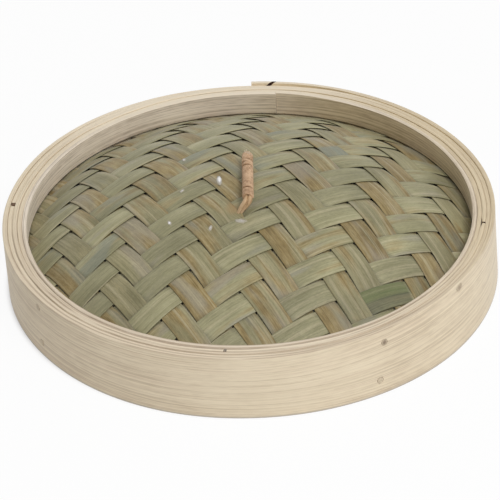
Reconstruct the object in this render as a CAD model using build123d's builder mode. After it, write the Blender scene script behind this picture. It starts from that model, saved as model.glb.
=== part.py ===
"""Lid of a bamboo steamer: a rim of bent hoops, a domed twill weave and a cane handle.

Millimetres, +Z up. The origin is the centre of the rim's bottom edge. +X is the viewer's
right and +Y points away from the viewer. Azimuths are degrees anticlockwise from +X.
"""

import os
from math import atan, ceil, cos, floor, radians, sin, sqrt, tan

from build123d import *

# Rim: bent strips of one stock, numbered from the outside in
lid_diameter = 254.0
rim_height = 36.0
hoop_thickness = 2.4
hoop_gap = 0.1
edge_round = 0.4
socket_depth = 5.0
socket_relief = 0.55
socket_shoulder = 0.4
end_slit = 2.2
seam_slit = 0.5
second_slit_azimuth = 171.5
middle_slit_azimuth = -8.8
inner_slit_azimuth = -97.2
upper_seam_azimuth = 81.4
lower_seam_azimuth = 30.0

# Lap of the outer hoop: the blunt head lies over the thinned tail
head_end_azimuth = 88.0
tail_start_azimuth = 150.0
tail_tip_azimuth = 71.0
tail_tip_thickness = 0.5
lap_gap = 0.15
lap_step_turn = 12.0

# Slanted saw cut in the head's top edge
cut_azimuth = 83.2
cut_slant = 54.0
cut_width = 2.0
cut_depth = 2.2

# Radial pegs in two rows
peg_diameter = 2.3
peg_clearance = 0.05
peg_stop = 1.2
upper_peg_drop = 5.8
lower_peg_rise = 3.3
upper_peg_azimuths = (-148.0, -61.0, -36.3, 28.0, 160.0)
lower_peg_azimuths = (-148.0, -61.5, 28.0, 160.0)
lap_peg_azimuth = 77.0

# Weave: a dome of flat strips in two-over, two-under twill
weave_edge_drop = 14.2
dome_rise = 33.2
strips_across = 17
strip_gap = 1.2
strip_thickness = 0.5
crossing_clearance = 0.9
corner_clearance = 0.06
weave_turn = 30.0
warp_offset_strips = 0.237
weft_offset_strips = -0.222
edge_strip_reach = 0.4
weave_end_clearance = 0.4
seat_clearance = 0.35
twill_repeat = 4
twill_float = 2

# Handle: a cane bail through two corner holes of the weave, bound with thinner cane
front_hole = (-2, -2)
back_hole = (0, 1)
cane_diameter = 3.2
bar_clearance = 2.1
leg_run = 2.5
front_kink = 1.8
bail_bend = 2.0
hook_drop = 6.6
hook_bend = 2.0
hook_length = 9.0
handle_swing = 25.0
leg_clearance = 0.45
wrap_diameter = 1.3
wrap_spacing = 2.15
wrap_clearance = 0.12
wrap_end_margin = 0.7

# Radii of the hoops, from the outside in
lid_radius = lid_diameter / 2
hoop_step = hoop_thickness + hoop_gap
second_radius = lid_radius - hoop_step
middle_radius = second_radius - hoop_step
inner_radius = middle_radius - hoop_step
clamp_radius = inner_radius - hoop_step
clamp_bore = clamp_radius - hoop_thickness
hoop_round = min(edge_round, hoop_thickness / 3)
socket_wall = socket_depth - socket_shoulder

# Heights of the dome and its thickness either side of the middle surface
weave_edge_height = rim_height - weave_edge_drop
crown_height = weave_edge_height + dome_rise
dome_radius = clamp_bore**2 / (2 * dome_rise)
wave = (strip_thickness + crossing_clearance) / 2
weave_pitch = 2 * clamp_bore / strips_across
warp_shift = warp_offset_strips * weave_pitch
weft_shift = weft_offset_strips * weave_pitch
strip_width = weave_pitch - strip_gap
ramp = 2 * wave * strip_gap / (strip_thickness + corner_clearance)
weave_radius = inner_radius - hoop_thickness - weave_end_clearance
weave_half = wave + strip_thickness / 2

up = Vector(0, 0, 1)
warp_across = Vector(cos(radians(weave_turn)), sin(radians(weave_turn)), 0)
weft_across = Vector(-sin(radians(weave_turn)), cos(radians(weave_turn)), 0)


def polar(radius, azimuth):
    """A point in plan."""
    return (radius * cos(radians(azimuth)), radius * sin(radians(azimuth)))


def dome_height(radius):
    """Height of the weave's middle surface at a distance from the lid's axis."""
    return crown_height - radius**2 / (2 * dome_radius)


def finish(piece, name):
    """Label one finished piece and write it."""
    piece.part.label = name
    export_step(piece.part, f"parts/{name}.step")


# Pegs and their holes
peg_start = clamp_bore + peg_stop
upper_peg_height = rim_height - upper_peg_drop
lower_peg_height = socket_depth + lower_peg_rise


def peg_planes(azimuths, height, start):
    """Planes whose normals point outwards along pegs at one height."""
    return [
        Plane(origin=(*polar(start, azimuth), height), x_dir=up, z_dir=(*polar(1, azimuth), 0))
        for azimuth in azimuths
    ]


upper_planes = peg_planes(upper_peg_azimuths, upper_peg_height, peg_start)
lower_planes = peg_planes(lower_peg_azimuths, lower_peg_height, peg_start)
lap_planes = peg_planes((lap_peg_azimuth,), upper_peg_height, peg_start)
lap_planes += peg_planes((lap_peg_azimuth,), lower_peg_height, peg_start)


def cut_peg_holes():
    """Peg holes through the hoop that is being made."""
    with Locations(*upper_planes, *lower_planes, *lap_planes):
        Cylinder(
            peg_diameter / 2 + peg_clearance,
            2 * (lid_radius - peg_start),
            align=(Align.CENTER, Align.CENTER, Align.MIN),
            mode=Mode.SUBTRACT,
        )


def cut_slit(azimuth, width):
    """The slit where the two ends of a bent hoop meet."""
    with Locations(Plane(origin=(*polar(lid_radius, azimuth), 0), x_dir=(*polar(1, azimuth), 0))):
        Box(lid_radius, width, 4 * rim_height, mode=Mode.SUBTRACT)


def bend_hoop(name, outer_radius, low, slit_azimuth, shaving=0.0):
    """A hoop of the rim's stock, flush with the rim's top edge, that may be shaved to take a basket."""
    with BuildPart() as hoop:
        with BuildSketch(Plane.XY.offset(low)):
            Circle(outer_radius)
            Circle(outer_radius - hoop_thickness, mode=Mode.SUBTRACT)
        extrude(amount=rim_height - low)
        levels = hoop.edges().group_by(Axis.Z)
        fillet(levels[-1] + levels[0].sort_by(SortBy.RADIUS)[-1:], hoop_round)
        if shaving > 0:
            Cylinder(outer_radius - hoop_thickness + shaving, 2 * socket_wall, mode=Mode.SUBTRACT)
        cut_slit(slit_azimuth, end_slit)
        cut_peg_holes()
    finish(hoop, name)


os.makedirs("parts", exist_ok=True)

# Outer hoop: one turn of strip with a thinned tail under its blunt head
inside = lid_radius - hoop_thickness
tail_top = inside + tail_tip_thickness
head_under = tail_top + lap_gap
tail_middle_azimuth = (tail_start_azimuth + head_end_azimuth) / 2
step_azimuth = tail_tip_azimuth - lap_step_turn
step_end_azimuth = tail_tip_azimuth - lap_step_turn / 6
step_middle_azimuth = (step_azimuth + step_end_azimuth) / 2
with BuildPart() as outer_hoop:
    with BuildSketch():
        with BuildLine():
            CenterArc((0, 0), lid_radius, head_end_azimuth, tail_start_azimuth - head_end_azimuth - 360)
            ThreePointArc(
                polar(lid_radius, tail_start_azimuth),
                polar((lid_radius + tail_top) / 2, tail_middle_azimuth),
                polar(tail_top, head_end_azimuth),
            )
            CenterArc((0, 0), tail_top, head_end_azimuth, tail_tip_azimuth - head_end_azimuth)
            Line(polar(tail_top, tail_tip_azimuth), polar(inside, tail_tip_azimuth))
            CenterArc((0, 0), inside, tail_tip_azimuth, 360 + step_azimuth - tail_tip_azimuth)
            ThreePointArc(
                polar(inside, step_azimuth),
                polar((inside + head_under) / 2, step_middle_azimuth),
                polar(head_under, step_end_azimuth),
            )
            CenterArc((0, 0), head_under, step_end_azimuth, head_end_azimuth - step_end_azimuth)
            Line(polar(head_under, head_end_azimuth), polar(lid_radius, head_end_azimuth))
        make_face()
    extrude(amount=rim_height)
    rim_arcs = outer_hoop.edges().filter_by(GeomType.CIRCLE).group_by(SortBy.RADIUS)[-1]
    fillet(rim_arcs, hoop_round)
    cut_direction = cut_azimuth - 90 + cut_slant
    with Locations(
        Plane(
            origin=(*polar(lid_radius - hoop_thickness / 2, cut_azimuth), rim_height),
            x_dir=(*polar(1, cut_direction), 0),
        )
    ):
        Box(8 * hoop_thickness, cut_width, 2 * cut_depth, mode=Mode.SUBTRACT)
    cut_peg_holes()
finish(outer_hoop, "outer_hoop")

bend_hoop("second_hoop", second_radius, 0, second_slit_azimuth, socket_relief)
bend_hoop("middle_hoop", middle_radius, socket_depth, middle_slit_azimuth)
bend_hoop("inner_hoop", inner_radius, socket_depth, inner_slit_azimuth)

# Clamp rings: their sloping faces hold the edge of the weave from above and below
seat_gap = weave_half + strip_width**2 / (8 * dome_radius) + seat_clearance


def clamp_ring(name, flat_height, side, seam_azimuth):
    """A ring with one flat face and one face that follows the dome, side above or below it."""
    with BuildPart() as ring:
        with BuildSketch(Plane.XZ):
            with BuildLine():
                Polyline(
                    (clamp_bore, flat_height),
                    (clamp_radius, flat_height),
                    (clamp_radius, dome_height(clamp_radius) + side * seat_gap),
                    (clamp_bore, dome_height(clamp_bore) + side * seat_gap),
                    close=True,
                )
            make_face()
        revolve(axis=Axis.Z)
        flat_edges = ring.edges().group_by(Axis.Z)[-1 if side > 0 else 0]
        fillet(flat_edges, hoop_round)
        cut_slit(seam_azimuth, seam_slit)
        cut_peg_holes()
    finish(ring, name)


clamp_ring("upper_clamp_ring", rim_height, 1, upper_seam_azimuth)
clamp_ring("lower_clamp_ring", socket_depth, -1, lower_seam_azimuth)


def drive_pegs(name, planes):
    """A row of pegs, flush with the rim outside and ending short of the clamp rings' bore."""
    peg_length = lid_radius - peg_start - 2 * peg_clearance
    with BuildPart() as pegs:
        with Locations(*[plane.offset(peg_clearance) for plane in planes]):
            Cylinder(peg_diameter / 2, peg_length, align=(Align.CENTER, Align.CENTER, Align.MIN))
    finish(pegs, name)


drive_pegs("upper_pegs", upper_planes)
drive_pegs("lower_pegs", lower_planes)
drive_pegs("lap_pegs", lap_planes)

# Handle: its two holes are corners of the weave, and it swings about the line between them


def corner(hole):
    """The corner between four strips, counted in strips from the one nearest the lid's axis."""
    spot = warp_across * (warp_shift + (hole[0] + 0.5) * weave_pitch)
    spot += weft_across * (weft_shift + (hole[1] + 0.5) * weave_pitch)
    return Vector(spot.X, spot.Y, dome_height(spot.length))


cane_radius = cane_diameter / 2
wrap_path_radius = cane_radius + wrap_clearance + wrap_diameter / 2
bar_radius = wrap_path_radius + wrap_diameter / 2
bar_height = crown_height + weave_half + bar_clearance + bar_radius

front_foot = corner(front_hole)
back_foot = corner(back_hole)
hinge = (back_foot - front_foot).normalized()
level = Vector(hinge.X, hinge.Y, 0).normalized()
sideways = level.cross(up)

front_bar = front_foot + level * leg_run + sideways * front_kink
front_bar = Vector(front_bar.X, front_bar.Y, bar_height)
back_bar = back_foot - level * leg_run
back_bar = Vector(back_bar.X, back_bar.Y, bar_height)
front_leg = (front_foot - front_bar).normalized()
back_leg = (back_foot - back_bar).normalized()
front_turn = front_foot + front_leg * hook_drop
back_turn = back_foot + back_leg * hook_drop
bail_points = [
    front_turn + level * hook_length,
    front_turn,
    front_bar,
    back_bar,
    back_turn,
    back_turn - level * hook_length,
]

with BuildPart() as handle_bail:
    with BuildLine() as bail_line:
        FilletPolyline(*bail_points, radius=[hook_bend, bail_bend, bail_bend, hook_bend])
    with BuildSketch(Plane(origin=bail_points[0], z_dir=bail_points[1] - bail_points[0])):
        Circle(cane_radius)
    sweep(path=bail_line.line)
finish(handle_bail, "handle_bail")

# Binding: one length of thin cane wound round the straight bar by half turns of two arcs each
bar_axis = (back_bar - front_bar).normalized()
bar_side = bar_axis.cross(up).normalized()
bar_up = bar_side.cross(bar_axis)
front_trim = bail_bend * tan(radians(front_leg.get_angle(bar_axis * -1) / 2)) + wrap_end_margin
back_trim = bail_bend * tan(radians(back_leg.get_angle(bar_axis) / 2)) + wrap_end_margin
wrap_room = (back_bar - front_bar).length - front_trim - back_trim - wrap_diameter
wrap_half_turns = floor(2 * wrap_room / wrap_spacing)
wrap_start = front_bar + bar_axis * (front_trim + (wrap_room - wrap_half_turns * wrap_spacing / 2) / 2)
wrap_start += bar_axis * (wrap_diameter / 2)


def wrap_point(turns):
    """A point of the winding's middle line."""
    angle = radians(360 * turns)
    around = bar_side * cos(angle) + bar_up * sin(angle)
    return wrap_start + bar_axis * (wrap_spacing * turns) + around * wrap_path_radius


def wrap_tangent(turns):
    """The winding's direction at that point."""
    angle = radians(360 * turns)
    around = bar_up * cos(angle) - bar_side * sin(angle)
    return (bar_axis * wrap_spacing + around * (radians(360) * wrap_path_radius)).normalized()


def arc_meeting(start, start_tangent, end, end_tangent):
    """Where two tangent arcs of equal reach meet, and their common direction there."""
    span = end - start
    both = start_tangent + end_tangent
    square = 2 * (1 - start_tangent.dot(end_tangent))
    linear = 2 * span.dot(both)
    reach = (sqrt(linear**2 + 4 * square * span.dot(span)) - linear) / (2 * square)
    first = start + start_tangent * reach
    second = end - end_tangent * reach
    return (first + second) * 0.5, (second - first).normalized()


with BuildPart() as handle_wrap:
    with BuildLine() as wrap_line:
        Line(wrap_point(0) - wrap_tangent(0) * wrap_diameter, wrap_point(0))
        for half in range(wrap_half_turns):
            here, there = half / 2, (half + 1) / 2
            middle, direction = arc_meeting(
                wrap_point(here), wrap_tangent(here), wrap_point(there), wrap_tangent(there)
            )
            TangentArc(wrap_point(here), middle, tangent=wrap_tangent(here))
            TangentArc(middle, wrap_point(there), tangent=direction)
        wrap_end = wrap_half_turns / 2
        Line(wrap_point(wrap_end), wrap_point(wrap_end) + wrap_tangent(wrap_end) * wrap_diameter)
    with BuildSketch(Plane(origin=wrap_line.line @ 0, z_dir=wrap_line.line % 0)):
        Circle(wrap_diameter / 2)
    sweep(path=wrap_line.line)
finish(handle_wrap, "handle_wrap")

wrap_samples = [wrap_point(step / 48) for step in range(24 * wrap_half_turns + 1)]
wrap_self_gap = min(
    (wrap_samples[step] - wrap_samples[other]).length - wrap_diameter
    for step in range(len(wrap_samples))
    for other in range(step + 24, min(step + 73, len(wrap_samples)))
)
print(f"winding: {wrap_half_turns / 2} loops, least gap to itself {wrap_self_gap:.2f} mm")
print(f"hinge from {front_foot} to {back_foot}")

# Weave: each strip is its own piece, with slots where the handle's legs pass


def leg_slot(foot, leg):
    """Plane, length and width of the slot that clears a leg over the handle's swing."""
    side = abs(leg.dot(sideways))
    tilt = atan(side / abs(leg.Z)) + radians(handle_swing)
    drop = sqrt(side**2 + leg.Z**2) * cos(tilt)
    depth = weave_half + leg_clearance
    length, width = [
        2 * (cane_radius * sqrt(1 + slope**2) + depth * slope + leg_clearance)
        for slope in (abs(leg.dot(level)) / drop, tan(tilt))
    ]
    return Plane(origin=foot, x_dir=level), length, width


leg_slots = [leg_slot(front_foot, front_leg), leg_slot(back_foot, back_leg)]


def weft_is_over(warp, weft):
    """Two-over, two-under twill that steps one strip sideways in each row."""
    return (warp - weft) % twill_repeat < twill_float


def strip_numbers(offset_strips):
    """Numbers of the strips that show inside the clamp rings, from the one nearest the axis."""
    reach = strips_across / 2 + edge_strip_reach
    return range(ceil(-reach - offset_strips), floor(reach - offset_strips) + 1)


def weave_strip(name, centre, along, across, other_shift, is_high):
    """A strip over and under its crossings, on the dome, cut round at the rim."""
    end = weave_radius + weave_end_clearance
    first = floor((-end - other_shift) / weave_pitch)
    last = ceil((end - other_shift) / weave_pitch)
    runs = [(-end, is_high(first))]
    for crossing in range(first, last):
        border = other_shift + (crossing + 0.5) * weave_pitch
        if abs(border) + ramp / 2 >= end:
            continue
        before, after = is_high(crossing), is_high(crossing + 1)
        if before == after:
            runs.append((border, before))
        else:
            runs += [(border - ramp / 2, before), (border + ramp / 2, after)]
    runs[0] = (-end, runs[1][1])
    runs.append((end, runs[-1][1]))
    slope = -centre / dome_radius
    near = centre - strip_width / 2
    middle = [
        (s, dome_height(sqrt(s**2 + centre**2)) - slope * strip_width / 2 + (wave if high else -wave))
        for s, high in runs
    ]
    upper = [(s, z + strip_thickness / 2) for s, z in middle]
    lower = [(s, z - strip_thickness / 2) for s, z in middle]
    with BuildPart() as strip:
        with BuildSketch(Plane(origin=across * near, x_dir=along, z_dir=along.cross(up))):
            with BuildLine():
                Polyline(*upper, *reversed(lower), close=True)
            make_face()
        extrude(amount=strip_width, dir=across + up * slope)
        Cylinder(weave_radius, 4 * crown_height, mode=Mode.INTERSECT)
        for plane, length, width in leg_slots:
            with Locations(plane):
                Box(length, width, 8 * weave_half, mode=Mode.SUBTRACT)
    finish(strip, name)


warps = strip_numbers(warp_offset_strips)
wefts = strip_numbers(weft_offset_strips)
for number, warp in enumerate(warps, 1):
    weave_strip(
        f"warp_strip_{number:02d}",
        warp_shift + warp * weave_pitch,
        weft_across,
        warp_across,
        weft_shift,
        lambda weft, warp=warp: not weft_is_over(warp, weft),
    )
for number, weft in enumerate(wefts, 1):
    weave_strip(
        f"weft_strip_{number:02d}",
        weft_shift + weft * weave_pitch,
        warp_across,
        weft_across,
        warp_shift,
        lambda warp, weft=weft: weft_is_over(warp, weft),
    )
print(f"{len(warps)} warp strips, {len(wefts)} weft strips")
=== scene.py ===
"""Looks of a bamboo steamer lid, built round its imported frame. Metres, +Z up, +Y away from the camera."""

import math

import bpy
from mathutils import Matrix, Vector
from mathutils.bvhtree import BVHTree


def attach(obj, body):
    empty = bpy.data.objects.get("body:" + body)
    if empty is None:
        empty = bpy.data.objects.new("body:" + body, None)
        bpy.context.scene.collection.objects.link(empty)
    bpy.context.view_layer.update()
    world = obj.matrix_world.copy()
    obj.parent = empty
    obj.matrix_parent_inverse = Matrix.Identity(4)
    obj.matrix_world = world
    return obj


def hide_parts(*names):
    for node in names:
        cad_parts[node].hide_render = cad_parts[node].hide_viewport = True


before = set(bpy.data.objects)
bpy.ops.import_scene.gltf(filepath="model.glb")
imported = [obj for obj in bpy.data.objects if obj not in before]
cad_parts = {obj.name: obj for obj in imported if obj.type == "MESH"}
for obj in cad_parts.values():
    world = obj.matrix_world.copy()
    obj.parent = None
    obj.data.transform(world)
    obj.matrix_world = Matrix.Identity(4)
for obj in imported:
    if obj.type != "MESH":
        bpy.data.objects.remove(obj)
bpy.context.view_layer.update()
MM = 0.001

# Rim, as in the solids
LID_RADIUS = 127.0 * MM
RIM_HEIGHT = 36.0 * MM
HOOP = 2.4 * MM
HOOP_STEP = 2.5 * MM
SOCKET_DEPTH = 5.0 * MM
EDGE_ROUND = 0.32 * MM
CLAMP_RADIUS = LID_RADIUS - 4 * HOOP_STEP
CLAMP_BORE = CLAMP_RADIUS - HOOP

# Where the bent rim leans: azimuth, spread, lean of its top and of its foot
RIM_LEANS = ((-40.0, 60.0, -2.5 * MM, 1.3 * MM), (-158.0, 50.0, 0.0, -1.1 * MM))
LAYER_WANDER = 2.4 * MM

# Weave, as in the solids
STRIPS_ACROSS = 17
PITCH = 2 * CLAMP_BORE / STRIPS_ACROSS
WARP_SHIFT = 0.237 * PITCH
WEFT_SHIFT = -0.222 * PITCH
WEAVE_TURN = math.radians(30)
CROWN = 55.0 * MM
DOME_RISE = 33.2 * MM
DOME_RADIUS = CLAMP_BORE**2 / (2 * DOME_RISE)
WEAVE_RADIUS = 116.7 * MM
WARP_FIRST, WEFT_FIRST, STRIP_COUNT = -9, -8, 18

# Weave, as laid by hand: even in the middle, drawn together towards the rim and pulled to the back
GATHER = 7.0 * MM
EVEN_RADIUS = 48.0 * MM
LATTICE_PULL = Vector((-1.5, 5.0, 0.0)) * MM
STRIP_GAP = 0.5 * MM
STRIP_CAMBER = 0.12 * MM
CUT_ROOM = 0.3 * MM
SHEAR = 2.0 * MM
SWAY_LENGTH = 45 * MM
DRIFT = 4.0 * MM
DRIFT_SIZE = 48 * MM
DRIFT_EASES = 95 * MM
SLACK_EASES = 100 * MM
SLACK_GROWTH = 300 * MM

# Handle, as in the solids
FRONT_FOOT = Vector((-3.13856, -28.62028, 52.90440)) * MM
BACK_FOOT = Vector((-0.00997, 19.89025, 53.99989)) * MM
BAR_HEIGHT = 61.07 * MM
LEG_RUN = 2.5 * MM
FRONT_KINK = 1.8 * MM
HOOK_DROP = 6.6 * MM
HOOK_LENGTH = 9.0 * MM
CANE = 1.6 * MM
BAIL_BEND = 2.0 * MM

# Handle, as it has bent: its leaning front foot, its shifted bar and the stain beside the foot
LEANING_FOOT = FRONT_FOOT + Vector((-2.0, 2.8, 0.1)) * MM
FRONT_SHIFT, BACK_SHIFT = 0.9 * MM, 0.6 * MM
STAIN = LEANING_FOOT + Vector((-3.2, 3.0, 0)) * MM

# Binding: flat cane, closer to the bar than the solids' round tube, over the same stretch
WRAP_TURNS = 17.5
WRAP_SPACING = 2.15 * MM
WRAP_CORE = CANE + 0.12 * MM
WRAP_THICKNESS = 1.2 * MM
WRAP_REACH = WRAP_CORE + WRAP_THICKNESS
WRAP_POINTS = 865

# Pegs: azimuths in degrees and heights; two of the upper row stand off its line, and a row's third is wide
UPPER_PEGS = (-148.0, -59.8, -34.6, 28.0, 160.0)
UPPER_PEG_RISES = (0.0, -1.2 * MM, 2.8 * MM, 0.0, 0.0)
LOWER_PEGS = (-148.0, -61.5, 28.0, 160.0)
LAP_PEG = 77.0
UPPER_PEG_HEIGHT = 30.2 * MM
LOWER_PEG_HEIGHT = 8.3 * MM
WIDE_PEG, WIDE_PEG_STRETCH = 2, 0.45
PEG_LENGTH = 11.1 * MM

up = Vector((0, 0, 1))


class Field:
    """A node's output that can be reckoned with like a number."""

    def __init__(self, wiring, socket):
        self.wiring = wiring
        self.socket = socket

    def __add__(self, other):
        return self.wiring.math("ADD", self, other)

    def __sub__(self, other):
        return self.wiring.math("SUBTRACT", self, other)

    def __rsub__(self, other):
        return self.wiring.math("SUBTRACT", other, self)

    def __mul__(self, other):
        return self.wiring.math("MULTIPLY", self, other)

    def __truediv__(self, other):
        return self.wiring.math("DIVIDE", self, other)

    def __pow__(self, other):
        return self.wiring.math("POWER", self, other)

    def __neg__(self):
        return self.wiring.math("MULTIPLY", self, -1.0)

    __radd__ = __add__
    __rmul__ = __mul__


class Wiring:
    """Short words for laying out a node tree."""

    def __init__(self, tree):
        self.tree = tree

    def feed(self, socket, value):
        if isinstance(value, Field):
            self.tree.links.new(value.socket, socket)
        elif value is not None:
            socket.default_value = value

    def node(self, kind, *feeds, settings=None, **named):
        made = self.tree.nodes.new(kind)
        for key, value in (settings or {}).items():
            setattr(made, key, value)
        for socket, value in zip(made.inputs, feeds):
            self.feed(socket, value)
        for name, value in named.items():
            self.feed(made.inputs[name.replace("_", " ")], value)
        return made

    def out(self, made, name=0):
        return Field(self, made.outputs[name])

    def field(self, kind, *feeds, **named):
        """The first output of a new node."""
        return self.out(self.node(kind, *feeds, **named))

    def math(self, operation, *values):
        return self.field("ShaderNodeMath", *values, settings={"operation": operation})

    def smooth(self, value, start, end, low=0.0, high=1.0):
        settings = {"interpolation_type": "SMOOTHSTEP"}
        return self.field("ShaderNodeMapRange", value, start, end, low, high, settings=settings)

    def length(self, x, y):
        return self.math("SQRT", x * x + y * y)

    def vector(self, x, y, z):
        return self.field("ShaderNodeCombineXYZ", x, y, z)

    def split(self, vector):
        made = self.node("ShaderNodeSeparateXYZ", vector)
        return [self.out(made, axis) for axis in range(3)]

    def vector_math(self, operation, *values):
        return self.field("ShaderNodeVectorMath", *values, settings={"operation": operation})

    def scaled(self, vector, amount):
        made = self.node("ShaderNodeVectorMath", vector, settings={"operation": "SCALE"})
        self.feed(made.inputs["Scale"], amount)
        return self.out(made)

    def noise(self, vector, scale=1.0, detail=2.0, roughness=0.5):
        return self.field(
            "ShaderNodeTexNoise", Vector=vector, Scale=scale, Detail=detail, Roughness=roughness
        )

    def white(self, value):
        made = self.node("ShaderNodeTexWhiteNoise", settings={"noise_dimensions": "1D"})
        self.feed(made.inputs["W"], value)
        return self.out(made)


class Recipe(Wiring):
    """A geometry node tree with named inputs, which makes plain meshes."""

    def __init__(self, name):
        super().__init__(bpy.data.node_groups.new(name, "GeometryNodeTree"))
        self.entry = self.tree.nodes.new("NodeGroupInput")
        self.identifiers = {}

    def ask(self, name, kind="Float"):
        item = self.tree.interface.new_socket(name, in_out="INPUT", socket_type=f"NodeSocket{kind}")
        self.identifiers[name] = item.identifier
        return Field(self, self.entry.outputs[name])

    def asks(self, *names, kind="Float"):
        return [self.ask(name, kind) for name in names]

    def position(self):
        return self.field("GeometryNodeInputPosition")

    def keep(self, geometry, name, value, domain="POINT", kind="FLOAT"):
        made = self.node("GeometryNodeStoreNamedAttribute", settings={"domain": domain, "data_type": kind})
        self.feed(made.inputs["Geometry"], geometry)
        made.inputs["Name"].default_value = name
        self.feed(made.inputs["Value"], value)
        return self.out(made)

    def kept(self, name, kind="FLOAT"):
        made = self.node("GeometryNodeInputNamedAttribute", settings={"data_type": kind})
        made.inputs["Name"].default_value = name
        return self.out(made)

    def join(self, *parts):
        made = self.node("GeometryNodeJoinGeometry")
        for part in reversed(parts):
            self.feed(made.inputs[0], part)
        return self.out(made)

    def place(self, geometry, position):
        return self.field("GeometryNodeSetPosition", Geometry=geometry, Position=position)

    def sharpen(self, geometry, angle):
        """Smooth shading, with edges past an angle left sharp."""
        smooth = self.field("GeometryNodeSetShadeSmooth", geometry)
        steep = self.math("GREATER_THAN", self.field("GeometryNodeInputMeshEdgeAngle"), angle)
        made = self.node("GeometryNodeSetShadeSmooth", smooth, settings={"domain": "EDGE"})
        self.feed(made.inputs["Selection"], steep)
        made.inputs["Shade Smooth"].default_value = False
        return self.out(made)

    def serve(self, geometry, material, spared=None):
        """Ends the tree; faces that already have the spared material keep it."""
        self.tree.interface.new_socket("Geometry", in_out="OUTPUT", socket_type="NodeSocketGeometry")
        whole = self.field("GeometryNodeRealizeInstances", geometry)
        last = self.node("GeometryNodeSetMaterial", Geometry=whole, Material=material)
        if spared:
            kept = self.field("GeometryNodeMaterialSelection", spared)
            self.feed(last.inputs["Selection"], 1.0 - kept)
        dressed = self.out(last)
        self.feed(self.tree.nodes.new("NodeGroupOutput").inputs[0], dressed)

    def make(self, name, sizes, points=(), edges=()):
        """One finished piece: the tree is run on some points and its result kept as a plain mesh."""
        start = bpy.data.meshes.new(name)
        start.from_pydata(points, edges, [])
        piece = bpy.data.objects.new(name, start)
        bpy.context.scene.collection.objects.link(piece)
        modifier = piece.modifiers.new("recipe", "NODES")
        modifier.node_group = self.tree
        for key, value in sizes.items():
            modifier[self.identifiers[key]] = value
        graph = bpy.context.evaluated_depsgraph_get()
        mesh = bpy.data.meshes.new_from_object(piece.evaluated_get(graph), depsgraph=graph)
        piece.modifiers.remove(modifier)
        piece.data = mesh
        mesh.name = name
        bpy.data.meshes.remove(start)
        return piece


class Finish(Wiring):
    """A procedural material with one principled shader."""

    def __init__(self, name, **sockets):
        self.material = bpy.data.materials.new(name)
        self.material.use_nodes = True
        super().__init__(self.material.node_tree)
        self.shader = self.tree.nodes["Principled BSDF"]
        for key, value in sockets.items():
            self.shader.inputs[key.replace("_", " ")].default_value = value

    def object_place(self):
        return Field(self, self.tree.nodes.new("ShaderNodeTexCoord").outputs["Object"])

    def speckle(self, size, detail):
        """Noise over the whole piece, with grains of about this size."""
        x, y, z = self.split(self.object_place())
        return self.noise(self.vector(x / size, y / size, z / size), detail=detail)

    def attribute(self, name):
        made = self.node("ShaderNodeAttribute", settings={"attribute_name": name})
        return self.out(made, "Fac")

    def ramp(self, value, *stops):
        made = self.node("ShaderNodeValToRGB", value)
        elements = made.color_ramp.elements
        while len(elements) < len(stops):
            elements.new(0.5)
        for element, (place, colour) in zip(elements, stops):
            element.position = place
            element.color = (*colour, 1.0)
        return self.out(made)

    def blend(self, amount, under, over, kind="MIX"):
        made = self.node("ShaderNodeMix", settings={"data_type": "RGBA", "blend_type": kind})
        self.feed(made.inputs[0], amount)
        for socket, colour in ((made.inputs[6], under), (made.inputs[7], over)):
            self.feed(socket, colour if isinstance(colour, Field) else (*colour, 1.0))
        return Field(self, made.outputs[2])

    def finish(self, colour, roughness, height, depth):
        self.feed(self.shader.inputs["Base Color"], colour)
        self.feed(self.shader.inputs["Roughness"], roughness)
        bump = self.node("ShaderNodeBump", Strength=1.0, Distance=depth, Height=height)
        self.feed(self.shader.inputs["Normal"], self.out(bump))
        return self.material


# Sides and stretches of the rim, by azimuth in degrees, and the colours painted on them: a blush in the
# grain, wear on the near tops, paler far tops, painted shade on the right side and a painted contact shadow
# along the foot
NEAR_SIDE, FAR_SIDE, RIGHT_SIDE, FAR_RIGHT_SIDE = -98, 102, -5, 38
PALE_STRETCH, LEFT_STRETCH, FRONT_STRETCH, CRACKED_STRETCH = -80, -143, -58, -112
BLUSH = (0.62, 0.46, 0.34)
SHADE = (0.80, 0.74, 0.58)
BARE_TOP = (0.84, 0.735, 0.575)
TAN_LAYER = (0.52, 0.40, 0.275)
DARK_SEAM = (0.33, 0.235, 0.15)
FINE_CRACK = (0.40, 0.295, 0.195)
FOOT_SHADOW_GREY = (0.33, 0.31, 0.29)


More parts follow.
